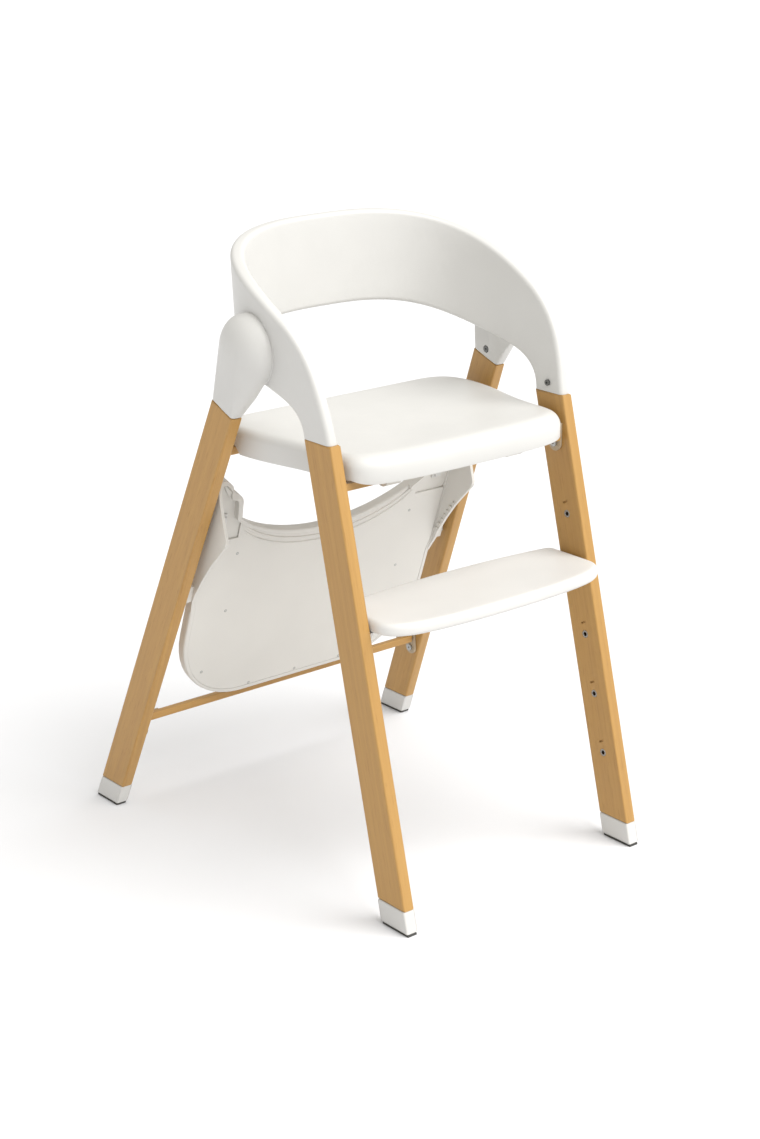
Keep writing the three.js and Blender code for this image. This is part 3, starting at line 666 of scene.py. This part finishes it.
def make_footrest():
    """A board with a bowed front edge and full round rims."""
    front, back, side = FOOTREST_FRONT, FOOTREST_BACK, FOOTREST_SIDE
    half = np.vstack([
        bezier((0, front), (60, front), (110, front + 3), (142, front + 10), 24),
        bezier((142, front + 10), (164, front + 16), (side, front + 27), (side, front + 45), 18)[1:],
        bezier((side, front + 45), (side, -190), (side, -165), (side, back - 26), 10)[1:],
        bezier((side, back - 26), (side, back - 16), (side - 6, back - 12), (side - 14, back - 11), 10)[1:],
        bezier((side - 14, back - 11), (120, back - 4), (60, back), (0, back), 24)[1:],
    ])
    outline = full_outline(resampled(half, 100))
    normals = inward(outline)
    under, over = 5.5, 7.5
    base = ring(outline, normals, under + 2, FOOTREST_LOW)
    loops = [shrunk(base, FOOTREST_CENTRE, share, FOOTREST_LOW) for share in (0.03, 0.6, 1)]
    for t in np.linspace(0, math.pi / 2, 7):
        z = FOOTREST_LOW + under * (1 - math.cos(t))
        loops.append(ring(outline, normals, under * (1 - math.sin(t)), z))
    loops += rounded_top(outline, normals, over, FOOTREST_TOP)
    rim = ring(outline, normals, over + 4, FOOTREST_TOP)
    loops += dished(rim, FOOTREST_CENTRE, FOOTREST_DISH, FOOTREST_TOP)
    board = lofted("footrest", loops)
    settle(board, 42)
    # Painted light: the footrest gets a lighter white than the seat to offset the seat's shade over it.
    dress(board, FOOTREST_WHITE_PAINTED_LIGHT, "footrest", "white_plastic", "footrest_board")


# ---------- the tray's small parts ----------

TRAY_LEAN = math.radians(18.7)
TRAY_FOOT_Y = 235.9
TRAY_FACE = -0.3  # where the small parts stand on the underside, just inside its surface
RIDGE_SECTION = ((-0.5, -1.2), (-0.5, 0), (-0.36, 0.6), (-0.15, 0.93),
                 (0.15, 0.93), (0.36, 0.6), (0.5, 0), (0.5, -1.2))
SCREW_PROFILE = ((2.2, -2), (2.2, 0.05), (2.0, 0.3), (1.6, 0.45), (1.15, 0.4), (1.0, -0.6), (0.3, -0.7))
SCREW_SOCKET = 1.2  # rings smaller than this belong to the hexagonal socket
TOOTH_SECTION = ((-1.6, -2.2), (1.6, -2.2), (1.2, 1.2), (0.4, 1.9), (-0.4, 1.9), (-1.2, 1.2))


def on_tray(x, v, n):
    """A place in the tray's own frame: across, up its length, and out of its underside."""
    s, c = math.sin(TRAY_LEAN), math.cos(TRAY_LEAN)
    return np.array([x, TRAY_FOOT_Y - s * v - c * n, c * v - s * n])


def tray_ridge(name, points, width, height, base):
    """A low rounded ridge that follows (x, v) points on the tray's underside."""
    points = np.asarray(points, float)
    tangent = np.gradient(points, axis=0)
    normal = np.stack([-tangent[:, 1], tangent[:, 0]], 1)
    normal /= np.linalg.norm(normal, axis=1)[:, None]
    loops = []
    for k, (p, m) in enumerate(zip(points, normal)):
        taper = min(1.0, (k + 0.35) / 3, (len(points) - 0.65 - k) / 3)
        loop = []
        for a, d in RIDGE_SECTION:
            x, v = p + m * a * width * taper
            rise = d * height * (taper if d > 0 else 1)
            loop.append(on_tray(x, v, base + rise))
        loops.append(loop)
    ridge = lofted(name, loops)
    settle(ridge, 60)
    dress(ridge, TRAY_WHITE, "tray", "warm_white_plastic")


def tray_screw(name, x, v, base):
    """A small recessed-head screw in the tray's underside."""
    loops = []
    for radius, n in SCREW_PROFILE:
        loop = []
        for t in (2 * math.pi * k / 24 for k in range(24)):
            reach = radius
            if radius < SCREW_SOCKET:
                reach = radius * (1 / max(0.87, math.cos((t % (math.pi / 3)) - math.pi / 6)))
            loop.append(on_tray(x + reach * math.cos(t), v + reach * math.sin(t), base + n))
        loops.append(loop)
    screw = lofted(name, loops)
    settle(screw, 35)
    dress(screw, STEEL, "tray", "steel")


def tray_tooth(name, x0, x1, v, n):
    """One tooth of the ratchet along an arm's ramp."""
    tooth = lofted(name, [[on_tray(x, v + a, n + b) for a, b in TOOTH_SECTION] for x in (x0, x1)])
    bevelled(tooth, 0.25, 1)
    settle(tooth, 40)
    dress(tooth, FITTING, "tray", "warm_white_plastic")


# ---------- camera, light and floor ----------

def make_camera():
    """Three-quarter view from the front and the child's right, slightly from above."""
    target = Vector((0, -2.1, 347.0)) * MM
    azimuth, elevation, distance = math.radians(-39.8), math.radians(19.0), 2.809
    back = Vector((math.sin(azimuth) * math.cos(elevation), -math.cos(azimuth) * math.cos(elevation),
                   math.sin(elevation)))
    data = bpy.data.cameras.new("camera")
    data.lens = 68.38
    data.sensor_width = 36.0
    camera = bpy.data.objects.new("camera", data)
    camera.location = target + back * distance
    camera.rotation_mode = "QUATERNION"
    camera.rotation_quaternion = (-back).to_track_quat("-Z", "Y")
    bpy.context.scene.collection.objects.link(camera)
    bpy.context.scene.camera = camera


def soft_sun(name, towards, angle, strength, colour):
    """A broad distant light that shines from the given direction."""
    data = bpy.data.lights.new(name, "SUN")
    data.angle = math.radians(angle)
    data.energy = strength
    data.color = colour
    light = bpy.data.objects.new(name, data)
    light.rotation_mode = "QUATERNION"
    light.rotation_quaternion = Vector(towards).to_track_quat("Z", "Y")
    light.location = Vector(towards) * 2
    bpy.context.scene.collection.objects.link(light)


def make_stage():
    """A plain pale floor under an even sky, with one broad light from the front and above."""
    reach = 60000
    corners = [(-reach, -reach, 0), (reach, -reach, 0), (reach, reach, 0), (-reach, reach, 0)]
    floor = piece("floor", corners, [(0, 1, 2, 3)])
    mat, tree, shade = shader("floor_look")
    tone = noise(tree, mapping(tree), 1.2, 2.0)
    pale = ramp(tree, tone, [(0.3, (0.775, 0.78, 0.8)), (0.7, (0.795, 0.8, 0.82))])
    tree.links.new(pale, shade.inputs["Base Color"])
    shade.inputs["Roughness"].default_value = 0.9
    shade.inputs["Specular IOR Level"].default_value = 0.1
    floor.data.materials.append(mat)
    world = bpy.data.worlds.new("studio")
    world.use_nodes = True
    sky = world.node_tree.nodes["Background"]
    sky.inputs["Color"].default_value = (1.0, 0.984, 0.944, 1)
    sky.inputs["Strength"].default_value = 0.7
    bpy.context.scene.world = world
    soft_sun("key", (0.32, -0.70, 0.93), 60, 3.25, (1.0, 0.997, 0.985))
    bpy.context.scene.view_settings.view_transform = "Standard"


# ---------- the chair ----------

make_camera()
make_stage()
make_hoop()
right_socket = make_socket("socket_right")
left_socket = mirrored_copy(right_socket, "socket_left")
dress(right_socket, WHITE, "rear_frame", "white_plastic", "rear_leg_socket_right")
dress(left_socket, WHITE, "rear_frame", "white_plastic", "rear_leg_socket_left")
make_seat()
make_footrest()

for node, look in WOODS.items():
    refined(node, 1.1 if "rail" in node else 0, look, 3, 60, 50)

for side, sign in SIDES:
    for end in ("front", "rear"):
        refined(f"{end}_foot_cap_{side}", 1.6, WHITE, 3, 30)
        refined(f"{end}_foot_sole_{side}", 0.5, RUBBER)
        refined(f"{end}_socket_screw_{side}", 0.3, DARK_STEEL)
    for place in ("front", "seat", "lower"):
        refined(f"{place}_rail_bracket_{side}", 0.6, BRACKET, 2, 50)
        refined(f"{place}_rail_bolt_{side}", 0.4)
    for index in range(1, 6):
        refined(f"footrest_insert_{index}_{side}", 0.35, BRASSY)
    refined(f"hinge_pin_{side}", 0.5)
    refined(f"seat_clip_{side}", 0.7, FITTING)
    refined(f"footrest_flange_{side}", 0.9, WHITE)
    refined(f"footrest_screw_{side}", 0.4)
    refined(f"tray_latch_{side}", 1.4, WHITE, 3)
    refined(f"tray_peg_{side}", 0.8, FITTING)

refined("tray_shell", 0.7, TRAY_WHITE, 2, 50, 45)
refined("tray_underside_panel", 0.4, TRAY_WHITE, 2, 60)

# Two ridges run along the tray's hollowed front edge.
for row, (offset, width) in enumerate(((13, 3.2), (21, 2.4))):
    line = bezier((143, 449 - offset), (122, 427 - offset), (68, 403 - offset), (0, 403 - offset), 22)
    across = np.vstack([line, line[-2::-1] * (-1, 1)])
    tray_ridge(f"tray_ridge_{row + 1}", across, width, 1.6, TRAY_FACE)

TRAY_SCREWS = ((166, 204), (79, 160), (146, 300), (146, 392))
TEETH, TOOTH_FROM, TOOTH_STEP = 7, 352, 9
TOOTH_INNER_X, TOOTH_OUTER_X, TOOTH_UNDER_EDGE = 201.5, 205.0, 3.4
FIN_V, FIN_HEIGHT = (345, 375, 402, 446), (6, 15, 25, 46)  # the arm's fin along the tray
for side, sign in SIDES:
    for k, (x, v) in enumerate(TRAY_SCREWS):
        tray_screw(f"tray_screw_{k + 1}_{side}", sign * x, v, TRAY_FACE)
    x0, x1 = sorted((sign * TOOTH_INNER_X, sign * TOOTH_OUTER_X))
    for k in range(TEETH):
        v = TOOTH_FROM + TOOTH_STEP * k
        height = float(np.interp(v, FIN_V, FIN_HEIGHT))
        tray_tooth(f"tray_tooth_{k + 1}_{side}", x0, x1, v, height - TOOTH_UNDER_EDGE)
tray_screw("tray_screw_middle", 0, 161, TRAY_FACE)
